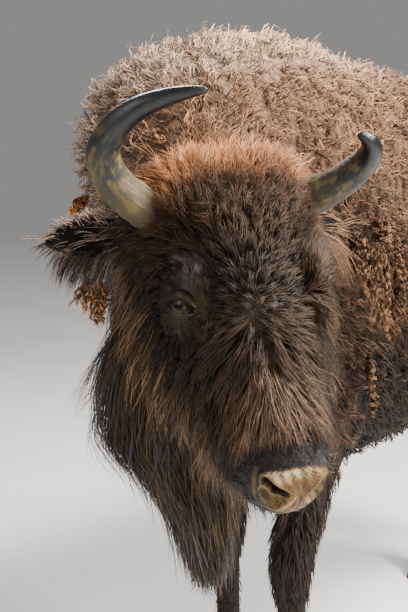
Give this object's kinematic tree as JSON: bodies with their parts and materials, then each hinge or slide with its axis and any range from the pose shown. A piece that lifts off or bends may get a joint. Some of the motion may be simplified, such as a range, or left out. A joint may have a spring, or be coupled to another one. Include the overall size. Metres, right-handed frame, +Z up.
{
  "type": "wisent",
  "caption": "Adult wisent standing square with its head lowered and turned to its left, in a woolly, part-shed coat with a dark beard and curved horns.",
  "frame": {"origin": "on the ground under the middle of the whole animal's box", "axes": "+Z up, +Y along the body towards the tail, +X to the animal's left"},
  "size_m": [0.9854, 2.2218, 1.6939],
  "materials": {
    "coat": "matt tan-brown wool and guard hair in tufts",
    "dark_coat": "dark brown to near-black hair in tufts",
    "horn": "grey-black horn, glossy at the tip and stained yellow-green lower down",
    "eye": "wet dark brown eye",
    "hoof": "dull black hoof horn"
  },
  "bodies": {
    "root": {"head": "dark_coat", "neck": "coat", "trunk": "coat", "tail": "dark_coat", "beard": "dark_coat", "ear_left": "dark_coat", "ear_right": "dark_coat", "leg_fore_left": "dark_coat", "hoof_fore_left_outer": "hoof", "dewclaw_fore_left_outer": "hoof", "hoof_fore_left_inner": "hoof", "dewclaw_fore_left_inner": "hoof", "leg_fore_right": "dark_coat", "hoof_fore_right_outer": "hoof", "dewclaw_fore_right_outer": "hoof", "hoof_fore_right_inner": "hoof", "dewclaw_fore_right_inner": "hoof", "leg_hind_left": "dark_coat", "hoof_hind_left_outer": "hoof", "dewclaw_hind_left_outer": "hoof", "hoof_hind_left_inner": "hoof", "dewclaw_hind_left_inner": "hoof", "leg_hind_right": "dark_coat", "hoof_hind_right_outer": "hoof", "dewclaw_hind_right_outer": "hoof", "hoof_hind_right_inner": "hoof", "dewclaw_hind_right_inner": "hoof", "horn_left": "horn", "eye_left": "eye", "horn_right": "horn", "eye_right": "eye"}
  },
  "joints": []
}
